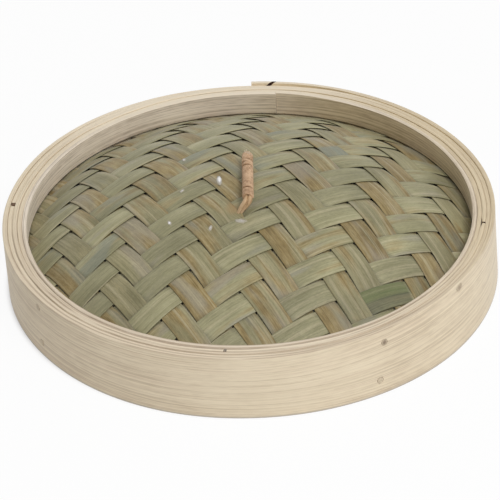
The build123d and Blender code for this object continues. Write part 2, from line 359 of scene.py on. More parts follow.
def rim_bamboo(name, pale, middle, tan, dark, seed, line_strength):
    """Split bamboo bent round the lid, its grain along the bend and its seams worn dark on the near top."""
    paint = Finish(name, Sheen_Weight=0.12, Sheen_Roughness=0.4)
    x, y, z = paint.split(paint.object_place())
    distance = paint.length(x, y)
    depth = z + distance * 1.37
    top, share = paint.attribute("top"), paint.attribute("share")

    def facing(degrees, start, end):
        """Rises to one towards the side of the lid at this azimuth, between two cosines."""
        angle = math.radians(degrees)
        return paint.smooth((x * math.cos(angle) + y * math.sin(angle)) / distance, start, end)

    def grain(length, spacing, offset, detail):
        """Noise drawn out along the bend and closely spaced across it."""
        place = paint.vector(x / (length * MM), y / (length * MM), depth / (spacing * MM) + seed + offset)
        return paint.noise(place, detail=detail, roughness=0.6)

    fibre = grain(170, 0.8, 0.0, 2.0)
    band = grain(150, 2.6, 31.0, 2.0)
    hair = grain(60, 0.42, 57.0, 2.0)
    fleck = grain(7, 0.9, 131.0, 1.0)
    line = paint.smooth(grain(110, 0.75, 83.0, 1.0), 0.66, 0.82)
    blush = paint.smooth(grain(160, 3.0, 11.0, 1.0), 0.54, 0.72)
    crack = paint.smooth(grain(150, 1.3, 23.0, 2.0), 0.5, 0.68)
    layer = paint.smooth(grain(170, 4.5, 71.0, 1.0), 0.45, 0.62)
    cloud = paint.noise(paint.vector(x / (30 * MM), y / (30 * MM), z / (14 * MM)), detail=3.0)
    stretch = facing(PALE_STRETCH, 0.9, 1.0) * 0.08 - facing(LEFT_STRETCH, 0.78, 1.0) * 0.06
    stretch = stretch - facing(FRONT_STRETCH, 0.94, 1.0) * 0.05
    tone = fibre * 0.8 + band * 0.1 + hair * 0.5 + fleck * 0.3 + cloud * 0.25 + stretch - 0.17

    worn = top * facing(NEAR_SIDE, 0.0, 0.7)
    # The tops on the far side are paler
    paler_far_top = top * facing(FAR_SIDE, 0.6, 1.0) * 0.8
    # Painted shade: the tops on the right side, and the inner face on the far right, which faces away from
    # the light, are darkened by a multiply
    inner_face = paint.smooth(share, 0.4, 0.1) * (1.0 - top)
    shaded = top * facing(RIGHT_SIDE, 0.3, 0.8) * 0.36 + inner_face * facing(FAR_RIGHT_SIDE, 0.55, 0.95)
    wear = paint.noise(paint.vector(x / (38 * MM), y / (38 * MM), distance / (3.2 * MM)), detail=2.0)
    wear = wear + facing(CRACKED_STRETCH, 0.7, 0.95) * 0.09
    seam = paint.smooth(paint.math("ABSOLUTE", share - 0.5), 0.16, 0.42)
    seam = seam * paint.smooth(wear, 0.4, 0.6, 0.1, 1.0)
    # Painted contact shadow: a grey band along the foot of the rim
    painted_foot_shadow = paint.smooth(z, 1.5 * MM, 0.2 * MM)

    colour = paint.ramp(tone, (0.62, tan), (0.80, middle), (0.98, pale))
    colour = paint.blend(line * line_strength, colour, dark)
    colour = paint.blend(blush * 0.14, colour, BLUSH)
    colour = paint.blend(shaded, colour, SHADE, "MULTIPLY")
    for amount, over in (
        (worn * 0.56 + paler_far_top, BARE_TOP),
        (worn * layer * 0.3, TAN_LAYER),
        (worn * seam * 0.8, DARK_SEAM),
        (worn * crack * 0.6, FINE_CRACK),
        (painted_foot_shadow * 0.6, FOOT_SHADOW_GREY),
    ):
        colour = paint.blend(amount, colour, over)
    return paint.finish(colour, 0.5 + fibre * 0.22, fibre + hair * 0.6 + line * -0.8, 0.1 * MM)


# Colours of the weave where it is weathered, streaked, worn or stained, and the painted shade where each
# strip dives under the crossing ones
GREY_GREEN, GREY_TAN = (0.24, 0.262, 0.205), (0.33, 0.285, 0.215)
PALE_STREAK = (0.47, 0.415, 0.265)
DARK_FIBRE = (0.13, 0.105, 0.05)
STRIP_EDGE = (0.12, 0.1, 0.05)
DIVE_SHADE = (0.09, 0.08, 0.045)
STAIN_BROWN = (0.40, 0.245, 0.10)


def strip_bamboo(name, seed, greens, browns, brown_share, odd_strip, odd_along, odd_far, odd_near):
    """Split bamboo of the weave, its grain along each strip; one float has kept a colour of its own."""
    paint = Finish(name, Specular_IOR_Level=0.42, Sheen_Weight=0.12, Sheen_Roughness=0.4)
    along, across = paint.attribute("along"), paint.attribute("across")
    strip, lift = paint.attribute("strip"), paint.attribute("lift")
    x, y, _ = paint.split(paint.object_place())
    own = paint.white(strip + seed)

    def grain(length, lines, offset, detail):
        """Noise drawn out along each strip."""
        place = paint.vector(along / (length * MM), across * lines, strip * 3.37 + seed + offset)
        return paint.noise(place, detail=detail, roughness=0.62)

    patch = grain(30, 0.5, 0.0, 1.0)
    fibre = grain(60, 7.5, 20.0, 4.0)
    half = grain(95, 1.15, 40.0, 1.0)
    streak = grain(120, 2.6, 60.0, 2.0)
    hair = grain(24, 26.0, 80.0, 1.0)
    fleck = grain(2.2, 16.0, 140.0, 2.0)
    mottle = grain(9, 2.2, 100.0, 3.0)

    green = paint.ramp(fibre * 0.55 + patch * 0.3 + mottle * 0.25, *greens)
    brown = paint.ramp(fibre * 0.6 + mottle * 0.5, *browns)
    share = paint.smooth(own * 0.32 + half * 0.7 + patch * 0.53, 0.9 - brown_share, 1.06 - brown_share)
    colour = paint.blend(share, green, brown)
    grey = paint.smooth(grain(34, 0.8, 120.0, 1.0) * 0.8 + own * 0.2, 0.54, 0.68)
    greys = paint.blend(paint.white(strip * 1.3 + seed), GREY_GREEN, GREY_TAN)
    colour = paint.blend(grey * 0.6, colour, greys)
    odd = paint.math("COMPARE", strip, odd_strip, 0.1)
    odd = odd * paint.smooth(paint.math("ABSOLUTE", along - odd_along), 16 * MM, 13 * MM)
    odd_colour = paint.blend(paint.smooth(across, 0.1, -0.15), odd_far, odd_near)
    colour = paint.blend(odd * (fibre * 1.2 + 0.12), colour, odd_colour)
    pale = paint.smooth(streak, 0.54, 0.68) * (1.0 - odd * 0.8)
    colour = paint.blend(pale * 0.6, colour, PALE_STREAK)
    colour = paint.blend(paint.smooth(hair, 0.6, 0.75) * 0.35, colour, DARK_FIBRE)
    # Brightness differs from strip to strip and in patches and flecks; the y term also paints the weave
    # lighter towards the back and darker at the front, as painted light
    tone_and_painted_light = paint.white(strip * 2.1 + seed) * 0.2 + patch * 0.48 + fleck * 0.6 + y / 1.3 + 0.285
    colour = paint.scaled(colour, tone_and_painted_light)
    edge = paint.smooth(paint.math("ABSOLUTE", across), 0.93, 1.0)
    colour = paint.blend(edge * 0.1, colour, STRIP_EDGE)
    # Painted shade where each strip dives under the crossing ones
    low = paint.smooth(lift, 0.25, -0.2)
    colour = paint.blend(low * 0.3, colour, DIVE_SHADE)
    near = paint.length(x - STAIN.x, y - STAIN.y)
    spot = paint.smooth(near + (mottle - 0.5) * 5 * MM, 6.5 * MM, 1.0 * MM)
    colour = paint.blend(spot * 0.45, colour, STAIN_BROWN)
    return paint.finish(colour, 0.42 + fibre * 0.25, fibre + hair * -0.4 + mottle * 0.3, 0.14 * MM)


def cane(name, pale, tan, dark):
    """Cane with fine fibres along its length."""
    paint = Finish(name, Specular_IOR_Level=0.4)
    along, across = paint.attribute("turn"), paint.attribute("section")
    x, _, _ = paint.split(paint.object_place())
    fibre = paint.noise(paint.vector(along * 14.0, across * 6.0, x / (6 * MM)), detail=3.0, roughness=0.6)
    patch = paint.speckle(5 * MM, 2.0)
    colour = paint.ramp(fibre * 0.6 + patch * 0.45, (0.36, dark), (0.5, tan), (0.7, pale))
    return paint.finish(colour, 0.5 + fibre * 0.2, fibre, 0.06 * MM)


def peg_bamboo():
    """Cut end grain of the pegs, grey on the weathered ones."""
    paint = Finish("peg_bamboo")
    spot = paint.speckle(0.6 * MM, 3.0)
    fresh = paint.ramp(spot, (0.35, (0.54, 0.445, 0.32)), (0.65, (0.66, 0.555, 0.405)))
    grey = paint.ramp(spot, (0.35, (0.22, 0.165, 0.115)), (0.65, (0.34, 0.265, 0.19)))
    core = paint.smooth(paint.attribute("core"), 0.0, 0.85, 0.15, 1.0)
    colour = paint.blend(paint.attribute("weathering") * core, fresh, grey)
    return paint.finish(colour, 0.75, spot, 0.1 * MM)


def sawn_bamboo(name, dark, light):
    """Sawn faces, mottled between a dark and a light colour; where these are near black, they are painted
    shade deep in the slits.
    """
    paint = Finish(name)
    x, y, z = paint.split(paint.object_place())
    mark = paint.noise(paint.vector(x / (1.5 * MM), y / (1.5 * MM), z / (0.4 * MM)), detail=2.0)
    colour = paint.ramp(mark, (0.35, dark), (0.65, light))
    return paint.finish(colour, 0.8, mark, 0.1 * MM)


def lacquer():
    """Drops dried on the weave, with a painted glint: white in the middle."""
    paint = Finish("dried_drop", Coat_Weight=1.0, Coat_Roughness=0.05)
    cloud = paint.speckle(0.7 * MM, 2.0)
    # Painted glint: each drop is whiter towards its middle
    middle = paint.attribute("middle") + (cloud - 0.5) * 0.5
    colour = paint.ramp(
        middle, (0.1, (0.33, 0.295, 0.20)), (0.5, (0.43, 0.395, 0.34)), (0.75, (0.86, 0.86, 0.84))
    )
    return paint.finish(colour, 0.15, cloud, 0.08 * MM)


hoop_finish = rim_bamboo(
    "hoop_bamboo",
    pale=(0.79, 0.68, 0.503),
    middle=(0.71, 0.60, 0.435),
    tan=(0.57, 0.465, 0.33),
    dark=(0.40, 0.29, 0.18),
    seed=3.0,
    line_strength=0.4,
)
ring_finish = rim_bamboo(
    "ring_bamboo",
    pale=(0.82, 0.725, 0.60),
    middle=(0.695, 0.60, 0.485),
    tan=(0.445, 0.37, 0.285),
    dark=(0.24, 0.18, 0.12),
    seed=17.0,
    line_strength=0.75,
)
warp_finish = strip_bamboo(
    "warp_bamboo",
    seed=11.0,
    greens=((0.4, (0.215, 0.195, 0.095)), (0.55, (0.305, 0.275, 0.15)), (0.72, (0.40, 0.36, 0.215))),
    browns=((0.4, (0.17, 0.116, 0.036)), (0.55, (0.275, 0.203, 0.083)), (0.75, (0.41, 0.335, 0.172))),
    brown_share=0.2,
    odd_strip=4.0,
    odd_along=0.0,
    odd_far=(0.22, 0.25, 0.20),
    odd_near=(0.23, 0.25, 0.20),
)
weft_finish = strip_bamboo(
    "weft_bamboo",
    seed=29.0,
    greens=((0.4, (0.225, 0.21, 0.105)), (0.55, (0.315, 0.295, 0.165)), (0.72, (0.405, 0.375, 0.23))),
    browns=((0.4, (0.20, 0.153, 0.06)), (0.55, (0.305, 0.25, 0.12)), (0.75, (0.41, 0.355, 0.205))),
    brown_share=0.08,
    odd_strip=-7.0,
    odd_along=21.9 * MM,
    odd_far=(0.10, 0.128, 0.04),
    odd_near=(0.075, 0.08, 0.04),
)
wrap_finish = cane("wrap_cane", (0.68, 0.47, 0.30), (0.475, 0.305, 0.18), (0.22, 0.115, 0.055))
bail_finish = cane("bail_cane", (0.68, 0.50, 0.315), (0.54, 0.365, 0.205), (0.27, 0.15, 0.065))
fibre_finish = cane("loose_fibre", (0.78, 0.66, 0.52), (0.68, 0.55, 0.41), (0.55, 0.42, 0.30))
peg_finish = peg_bamboo()
# Painted shade: the saw cut and most hoops' ends are near black, for the shade deep in the slits
cut_shade_finish = sawn_bamboo("sawn_bamboo", (0.035, 0.014, 0.009), (0.11, 0.045, 0.026))
end_finish = sawn_bamboo("worn_end_bamboo", (0.22, 0.15, 0.105), (0.38, 0.27, 0.195))
drop_finish = lacquer()


def weave_recipe():
    """All strips of one direction: each rides over two crossing strips, under two, and follows the dome."""
    plan = Recipe("woven_strips")
    first, offset, pitch, width = plan.asks("First Number", "Offset", "Pitch", "Width")
    thickness, wave, shear, crisp = plan.asks("Thickness", "Wave", "Shear", "Crispness")
    cross, step, shift, turn = plan.asks("Cross Offset", "Step", "Float Shift", "Turn")
    crown, dome, reach = plan.asks("Crown", "Dome Radius", "Reach")
    gather, even = plan.asks("Gather", "Even Radius")
    waver, seed, hole = plan.asks("Waver", "Seed", "Hole Radius")
    count, long_points, wide_points = plan.asks("Strips", "Points Along", "Points Across", kind="Int")
    pull, *feet = plan.asks("Pull", "Front Foot", "Back Foot", kind="Vector")
    material = plan.ask("Material", "Material")

    # One sheet for each strip's upper side and one for its lower side, closed at their edges further down
    sheet = plan.field("GeometryNodeMeshGrid", 1.0, 1.0, long_points, wide_points)
    upper = plan.keep(sheet, "side", 1.0)
    lower = plan.keep(plan.field("GeometryNodeFlipFaces", sheet), "side", -1.0)
    line = plan.field("GeometryNodeMeshLine", Count=count, Offset=(0.0, 0.0, 0.0))
    pair = plan.join(upper, lower)
    copies = plan.field("GeometryNodeInstanceOnPoints", Points=line, Instance=pair)
    number = plan.field("GeometryNodeInputIndex") + first
    copies = plan.keep(copies, "strip", number, domain="INSTANCE")
    strips = plan.field("GeometryNodeRealizeInstances", copies)

    # Where each strip lies on the lattice; the outermost are wider, and all are cut to a round
    flat_x, flat_y, _ = plan.split(plan.position())
    strip, side = plan.kept("strip"), plan.kept("side")
    far = flat_x * 2.0
    edge = plan.math("SINE", flat_y * math.pi)
    centre = offset + strip * pitch
    own_width = width * 0.5 + (plan.white(strip + seed) - 0.5) * waver
    cosine, sine = plan.math("COSINE", turn), plan.math("SINE", turn)
    pull_x, pull_y, _ = plan.split(pull)
    pull_along = pull_x * cosine + pull_y * sine
    pull_across = pull_y * cosine - pull_x * sine
    limit = reach - CUT_ROOM
    low, high = centre - own_width - pull_across, centre + own_width - pull_across
    low = low - plan.math("LESS_THAN", low, pitch * 0.75 - reach) * pitch
    high = high + plan.math("GREATER_THAN", high, reach - pitch * 0.75) * pitch
    inner = plan.math("MAXIMUM", low, -limit)
    outer = plan.math("MINIMUM", high, limit)
    middle = (inner + outer) * 0.5
    half_width = (outer - inner) * 0.5
    nominal = middle + edge * half_width
    long_half = plan.math("SQRT", reach * reach - nominal * nominal)
    along = far * long_half + pull_along
    sway = plan.noise(plan.vector(along / SWAY_LENGTH, strip * 3.7 + seed, edge * 0.6), detail=1.0) - 0.5
    place = nominal + sway * waver * 1.6
    across = (place - middle) / half_width

    # Over two crossing strips and under two
    beat = (along + shear * across - cross) / pitch + step * strip + shift
    swing = plan.math("COSINE", beat * (math.pi / 2)) * crisp
    lift = plan.math("TANH", swing) / plan.math("TANH", crisp)

    # Drawn together towards the rim, where nothing of the pull to the back remains
    out_along = along - pull_along
    spread = plan.length(out_along, place) + 1e-6
    ring = plan.math("MAXIMUM", spread - even, 0.0) / (reach - even)
    drawn = 1.0 - ring * ring * gather / spread
    remains = 1.0 - ring * ring
    x = (out_along * cosine - place * sine) * drawn + pull_x * remains
    y = (out_along * sine + place * cosine) * drawn + pull_y * remains

    # Height on the dome; the waves are flatter at the rim and taller towards the back
    radius = plan.length(x, y)
    slack = plan.smooth(radius, SLACK_EASES, CLAMP_BORE, 1.0, 0.62) * (y / SLACK_GROWTH + 1.0)
    tall = crown - radius * radius / (dome * 2.0) + lift * wave * slack
    tall = tall - across * across * STRIP_CAMBER

    def closing(value):
        """One over the middle, rounded off to nought at both edges."""
        power = plan.math("POWER", plan.math("ABSOLUTE", value), 8.0)
        return plan.math("POWER", plan.math("MAXIMUM", 1.0 - power, 0.0), 0.125)

    tall = tall + side * closing(edge) * closing(far) * thickness * 0.5

    # The whole lattice drifts a little, and the handle's feet push the strips aside
    drift_place = plan.vector(x / DRIFT_SIZE, y / DRIFT_SIZE, 0.0)
    drift = plan.node("ShaderNodeTexNoise", Vector=drift_place, Detail=1.0, Scale=1.0)
    drift_x, drift_y, _ = plan.split(plan.out(drift, "Color"))
    loose = plan.smooth(radius, DRIFT_EASES, CLAMP_BORE, 1.0, 0.0) * DRIFT
    x = x + (drift_x - 0.5) * loose
    y = y + (drift_y - 0.5) * loose
    for foot in feet:
        foot_x, foot_y, _ = plan.split(foot)
        away_x, away_y = x - foot_x, y - foot_y
        away = plan.length(away_x, away_y) + 1e-6
        push = plan.smooth(away, 0.0, hole * 4.5, 1.0, 0.0) * hole / away
        x = x + away_x * push
        y = y + away_y * push

    strips = plan.keep(strips, "along", along)
    strips = plan.keep(strips, "across", across)
    strips = plan.keep(strips, "lift", lift)
    strips = plan.place(strips, plan.vector(x, y, tall))
    strips = plan.field("GeometryNodeMergeByDistance", Geometry=strips, Distance=1e-7)
    strips = plan.field("GeometryNodeSetShadeSmooth", strips)
    plan.serve(strips, material)
    return plan


weave = weave_recipe()
weave_sizes = {
    "Pitch": PITCH,
    "Width": PITCH - STRIP_GAP,
    "Thickness": 0.5 * MM,
    "Wave": 0.87 * MM,
    "Crispness": 1.4,
    "Crown": CROWN,
    "Dome Radius": DOME_RADIUS,
    "Reach": WEAVE_RADIUS + GATHER,
    "Gather": GATHER,
    "Even Radius": EVEN_RADIUS,
    "Pull": LATTICE_PULL,
    "Waver": 0.12 * MM,
    "Hole Radius": 1.9 * MM,
    "Strips": STRIP_COUNT,
    "Points Along": 171,
    "Points Across": 11,
    "Front Foot": LEANING_FOOT,
    "Back Foot": BACK_FOOT,
}
warp_strips = weave.make(
    "warp_strips",
    weave_sizes
    | {
        "First Number": float(WARP_FIRST),
        "Offset": WARP_SHIFT,
        "Cross Offset": -WEFT_SHIFT,
        "Shear": -SHEAR,
        "Step": 1.0,
        "Float Shift": -2.5,
        "Turn": WEAVE_TURN - math.pi / 2,
        "Seed": 5.0,
        "Material": warp_finish,
    },
)
weft_strips = weave.make(
    "weft_strips",
    weave_sizes
    | {
        "First Number": float(WEFT_FIRST),
        "Offset": WEFT_SHIFT,
        "Cross Offset": WARP_SHIFT,
        "Shear": SHEAR,
        "Step": -1.0,
        "Float Shift": -0.5,
        "Turn": WEAVE_TURN,
        "Seed": 8.0,
        "Material": weft_finish,
    },
)


def polar(radius, degrees, height):
    """A point by azimuth."""
    angle = math.radians(degrees)
    return Vector((radius * math.cos(angle), radius * math.sin(angle), height))


upper_points = [polar(LID_RADIUS, azimuth, UPPER_PEG_HEIGHT) for azimuth in UPPER_PEGS]
for point, rise in zip(upper_points, UPPER_PEG_RISES):
    point.z += rise
lower_points = [polar(LID_RADIUS, azimuth, LOWER_PEG_HEIGHT) for azimuth in LOWER_PEGS]
lap_points = [polar(LID_RADIUS, LAP_PEG, height) for height in (UPPER_PEG_HEIGHT, LOWER_PEG_HEIGHT)]
peg_points = [*upper_points, lap_points[0], *lower_points, lap_points[1]]


def rim_drift(plan, depth, cosine, sine, height):
    """How far the bent rim lies off its circle; depth is nought at the bore and one at the outer face."""
    wander = plan.noise(plan.vector(cosine * 2.5, sine * 2.5, 4.0), detail=2.0) - 0.5
    drift = wander * LAYER_WANDER * depth * (1.0 - depth) * 4.0
    for azimuth, spread, top, foot in RIM_LEANS:
        side = polar(1.0, azimuth, 0.0)
        facing = cosine * side.x + sine * side.y
        angle = plan.math("ARCCOSINE", plan.math("MINIMUM", facing, 1.0))
        lean = height / RIM_HEIGHT * (top - foot) + foot
        drift = drift + plan.smooth(angle, math.radians(spread), 0.0) * lean * depth
    return drift


def pegs_on_points(plan, points, peg):
    """Copies of a peg whose own Z runs outwards from the lid's axis; the third is wider than it is tall."""
    x, y, _ = plan.split(plan.position())
    outwards = plan.vector(0.0, math.pi / 2, plan.math("ARCTAN2", y, x))
    third = plan.math("COMPARE", plan.field("GeometryNodeInputIndex"), float(WIDE_PEG), 0.1)
    size = plan.vector(1.0, third * WIDE_PEG_STRETCH + 1.0, 1.0)
    copies = plan.field(
        "GeometryNodeInstanceOnPoints", Points=points, Instance=peg, Rotation=outwards, Scale=size
    )
    return plan.field("GeometryNodeRealizeInstances", copies)


def hoop_recipe():
    """One bent strip of the rim: a rounded section carried round the lid between its two ends."""
    plan = Recipe("bent_hoop")
    pegs = plan.ask("Peg Points", "Geometry")
    outer, thickness, low, high = plan.asks("Outer Radius", "Thickness", "Low", "High")
    low_slope, high_slope, rounding = plan.asks("Low Slope", "High Slope", "Edge Round")
    start, sweep, waver, seed, dark_ends = plan.asks("Start", "Sweep", "Waver", "Seed", "Dark Ends")
    tail_from, tail_to, tail_thinning = plan.asks("Tail From", "Tail To", "Tail Thinning")
    tail_drop, set_back = plan.asks("Tail Drop", "Set Back")
    head_to, head_from, head_thinning = plan.asks("Head To", "Head From", "Head Thinning")
    hole, hole_depth, dip, dip_azimuth = plan.asks("Peg Hole", "Peg Depth", "Dip", "Dip Azimuth")
    cut_x, cut_y, cut_z, cut_shear = plan.asks("Cut Length", "Cut Width", "Cut Depth", "Cut Shear")
    cut_place, cut_turn = plan.asks("Cut Place", "Cut Turn", kind="Vector")
    around = plan.ask("Points Around", "Int")
    material, cut_material = plan.asks("Material", "Cut Material", kind="Material")

    # A straight strip of the right section, which keeps for each point where in the section it lies
    tall = high - low
    line = plan.node("GeometryNodeCurvePrimitiveLine")
    line.inputs["End"].default_value = (1.0, 0.0, 0.0)
    path = plan.node("GeometryNodeResampleCurve", Curve=plan.out(line), Count=around)
    path = plan.keep(plan.out(path), "turn", plan.field("GeometryNodeSplineParameter"))
    section = plan.field("GeometryNodeCurvePrimitiveQuadrilateral", Width=thickness, Height=tall)
    corners, as_drawn = {"mode": "POLY"}, {"mode": "EVALUATED"}
    section = plan.field("GeometryNodeFilletCurve", Curve=section, Radius=rounding, Count=4, settings=corners)
    section = plan.field("GeometryNodeResampleCurve", Curve=section, settings=as_drawn)
    section = plan.keep(section, "section", plan.position(), kind="FLOAT_VECTOR")
    body = plan.field("GeometryNodeCurveToMesh", Curve=path, Profile_Curve=section, Fill_Caps=True)

    # Bent round the lid, with its thinned ends, its slopes and its unevenness
    turn = plan.kept("turn")
    part_x, part_y, _ = plan.split(plan.kept("section", "FLOAT_VECTOR"))
    azimuth = start + sweep * turn
    cosine, sine = plan.math("COSINE", azimuth), plan.math("SINE", azimuth)
    tail = plan.smooth(turn, tail_from, tail_to)
    bore = outer - thickness
    outside = outer - tail_thinning * tail
    inside = bore + head_thinning * plan.smooth(turn, head_to, head_from, 1.0, 0.0) + set_back * tail
    share = part_x / thickness + 0.5
    bend = plan.noise(plan.vector(cosine * 3.0, sine * 3.0, seed), detail=2.0) - 0.5
    radius = inside + share * (outside - inside) + bend * waver
    ripple = plan.noise(plan.vector(cosine * 4.0, sine * 4.0, seed + 7.0), detail=3.0) - 0.5
    rise = part_y / tall + 0.5
    bottom = low + low_slope * (radius - bore)
    top = high + high_slope * (radius - bore) + ripple * waver * 1.6
    dipped = plan.smooth(plan.math("COSINE", azimuth - dip_azimuth), math.cos(math.radians(26)), 0.985)
    top = top - tail_drop * tail - dip * dipped
    height = bottom + (top - bottom) * rise
    depth = (radius - CLAMP_BORE) / (LID_RADIUS - CLAMP_BORE)
    radius = radius + rim_drift(plan, depth, cosine, sine, height)
    upper_edge = plan.smooth(part_y, tall * 0.5 - rounding, tall * 0.5)
    body = plan.keep(body, "share", share, domain="CORNER")
    body = plan.keep(body, "top", upper_edge, domain="CORNER")
    body = plan.place(body, plan.vector(radius * cosine, radius * sine, height))

    # Its ends may take the cut material, painted dark as shade in its slit; then its peg holes are bored and
    # its saw cut made, in the same painted dark
    ends = plan.math("ABSOLUTE", turn - 0.5) - (1.0 - dark_ends)
    at_end = plan.math("GREATER_THAN", ends, 0.49999)
    body = plan.field("GeometryNodeSetMaterial", Geometry=body, Selection=at_end, Material=cut_material)
    drill = plan.field("GeometryNodeMeshCylinder", Vertices=14, Radius=hole, Depth=hole_depth * 2.0)
    holes = pegs_on_points(plan, pegs, drill)
    cut = plan.field("GeometryNodeMeshCube", Size=plan.vector(cut_x, cut_y, cut_z))
    corner_x, corner_y, corner_z = plan.split(plan.position())
    slanted_x = corner_x + (corner_y + corner_z * 0.8) * cut_shear
    cut = plan.place(cut, plan.vector(slanted_x, corner_y, corner_z))
    cut = plan.field("GeometryNodeTransform", Geometry=cut, Translation=cut_place, Rotation=cut_turn)
    cut = plan.field("GeometryNodeSetMaterial", Geometry=cut, Material=cut_material)
    bored = plan.node("GeometryNodeMeshBoolean", settings={"operation": "DIFFERENCE", "solver": "EXACT"})
    plan.feed(bored.inputs["Mesh 1"], body)
    plan.feed(bored.inputs["Mesh 2"], plan.join(holes, cut))
    plan.serve(plan.sharpen(plan.out(bored), math.radians(38)), material, cut_material)
    return plan


hoops = hoop_recipe()
NO_CUT = Vector((0, 0, 1))
plain_hoop = {
    "Thickness": HOOP,
    "Low": SOCKET_DEPTH,
    "High": RIM_HEIGHT,
    "Edge Round": EDGE_ROUND,
    "Waver": 0.25 * MM,
    "Tail From": 2.0,
    "Tail To": 3.0,
    "Head To": -2.0,
    "Head From": -1.0,
    "Peg Hole": 1.83 * MM,
    "Peg Depth": PEG_LENGTH,
    "Cut Length": 2 * MM,
    "Cut Width": 2 * MM,
    "Cut Depth": 2 * MM,
    "Cut Place": NO_CUT,
    "Dip Azimuth": math.radians(92),
    "Dark Ends": 1.0,
    "Points Around": 361,
    "Material": hoop_finish,
    "Cut Material": cut_shade_finish,
}


def bend_hoop(name, outer, slit_azimuth, slit, seed, **changes):
    """A hoop that starts and ends beside its slit."""
    gap = slit / outer
    start = math.radians(slit_azimuth) + gap / 2
    own = {"Outer Radius": outer, "Start": start, "Sweep": 2 * math.pi - gap, "Seed": seed}
    own |= {key.replace("_", " "): value for key, value in changes.items()}
    return hoops.make(name, plain_hoop | own, peg_points)


LAP_SWEEP = 377.0
CUT_AZIMUTH, CUT_SLANT, CUT_WIDTH, CUT_SKIN = 82.8, 45.0, 2.4 * MM, 0.15 * MM
outer_look = hoops.make(
    "outer_hoop_bent",
    plain_hoop
    | {
        "Outer Radius": LID_RADIUS,
        "Low": 0.0,
        "Start": math.radians(88.0),
        "Sweep": math.radians(-LAP_SWEEP),
        "Seed": 1.0,
        "Dark Ends": 0.0,
        "Waver": 0.16 * MM,
        "Tail From": 298.0 / LAP_SWEEP,
        "Tail To": 360.0 / LAP_SWEEP,
        "Tail Thinning": 1.9 * MM,
        "Tail Drop": 1.5 * MM,
        "Head To": 19.0 / LAP_SWEEP,
        "Head From": 29.0 / LAP_SWEEP,
        "Head Thinning": 0.65 * MM,
        "Cut Length": 2.3 * MM,
        "Cut Width": CUT_WIDTH,
        "Cut Depth": 4.4 * MM,
        "Cut Shear": math.tan(math.radians(CUT_SLANT)),
        "Cut Place": polar(LID_RADIUS - CUT_SKIN - CUT_WIDTH / 2, CUT_AZIMUTH, RIM_HEIGHT),
        "Cut Turn": Vector((0, 0, math.radians(CUT_AZIMUTH - 90))),
        "Points Around": 401,
    },
    peg_points,
)
second_look = bend_hoop(
    "second_hoop_bent",
    LID_RADIUS - HOOP_STEP,
    171.5,
    3.2 * MM,
    2.0,
    Low=0.0,
    High=35.5 * MM,
    Dip=0.7 * MM,
    Cut_Material=end_finish,
)
middle_look = bend_hoop(
    "middle_hoop_bent",
    LID_RADIUS - 2 * HOOP_STEP,
    -8.8,
    1.2 * MM,
    3.0,
    High=35.7 * MM,
    Head_To=0.0,
    Head_From=0.006,
    Head_Thinning=0.7 * MM,
    Tail_From=0.994,
    Tail_To=1.0,
    Set_Back=0.7 * MM,
)
inner_look = bend_hoop(
    "inner_hoop_bent", LID_RADIUS - 3 * HOOP_STEP, -97.2, 1.5 * MM, 4.0, High=35.3 * MM
)
DOME_SLOPE = -(CLAMP_RADIUS + CLAMP_BORE) / (2 * DOME_RADIUS)
upper_look = bend_hoop(
    "upper_clamp_ring_bent",
    CLAMP_RADIUS,
    81.4,
    0.12 * MM,
    5.0,
    Low=23.2 * MM,
    High=35.6 * MM,
    Low_Slope=DOME_SLOPE,
    Tail_From=0.93,
    Tail_To=1.0,
    Set_Back=1.3 * MM,
    Dark_Ends=0.0,
    Material=ring_finish,
)
lower_look = bend_hoop(
    "lower_clamp_ring_bent",
    CLAMP_RADIUS,
    30.0,
    0.5 * MM,
    6.0,
    High=20.4 * MM,
    High_Slope=DOME_SLOPE,
    Material=ring_finish,
)


def peg_recipe():
    """Pegs split from bamboo: many-sided, slightly tapered, with a rough end."""
    plan = Recipe("split_pegs")
    points = plan.ask("Peg Points", "Geometry")
    radius, length, proud, grey, seed = plan.asks("Radius", "Length", "Proud", "Weathering", "Seed")
    material = plan.ask("Material", "Material")
    peg = plan.node("GeometryNodeMeshCylinder", Vertices=6, Radius=radius, Depth=length)
    plan.feed(peg.inputs["Side Segments"], 4)
    plan.feed(peg.inputs["Fill Segments"], 3)
    flat_x, flat_y, _ = plan.split(plan.position())
    core = 1.0 - (flat_x * flat_x + flat_y * flat_y) / (radius * radius)
    pegs = pegs_on_points(plan, points, plan.keep(plan.out(peg), "core", core))
    x, y, z = plan.split(plan.position())
    distance = plan.length(x, y)
    sunk = length * 0.5 - proud
    depth = (distance - sunk - CLAMP_BORE) / (LID_RADIUS - CLAMP_BORE)
    knock = plan.noise(plan.vector(x / (0.9 * MM) + seed, y / (0.9 * MM), z / (0.9 * MM)), detail=1.0) - 0.5
    drift = rim_drift(plan, depth, x / distance, y / distance, z)
    slide = (distance - sunk + knock * 0.25 * MM + drift) / distance
    near_front = plan.smooth(x, -40 * MM, 40 * MM, 0.3, 1.0) * plan.smooth(x, 75 * MM, 100 * MM, 1.0, 0.6)
    pegs = plan.keep(pegs, "weathering", grey * near_front)
    pegs = plan.place(pegs, plan.vector(x * slide, y * slide, z))
    plan.serve(plan.sharpen(pegs, math.radians(50)), material)
    return plan


pegs = peg_recipe()
peg_sizes = {"Radius": 1.8 * MM, "Length": PEG_LENGTH, "Proud": 0.1 * MM, "Material": peg_finish}
upper_row = pegs.make("upper_peg_row", peg_sizes | {"Seed": 1.0, "Weathering": 1.0}, upper_points)
lower_row = pegs.make("lower_peg_row", peg_sizes | {"Seed": 4.0, "Weathering": 0.05}, lower_points)
lap_row = pegs.make("lap_peg_row", peg_sizes | {"Seed": 9.0, "Weathering": 0.6}, lap_points)

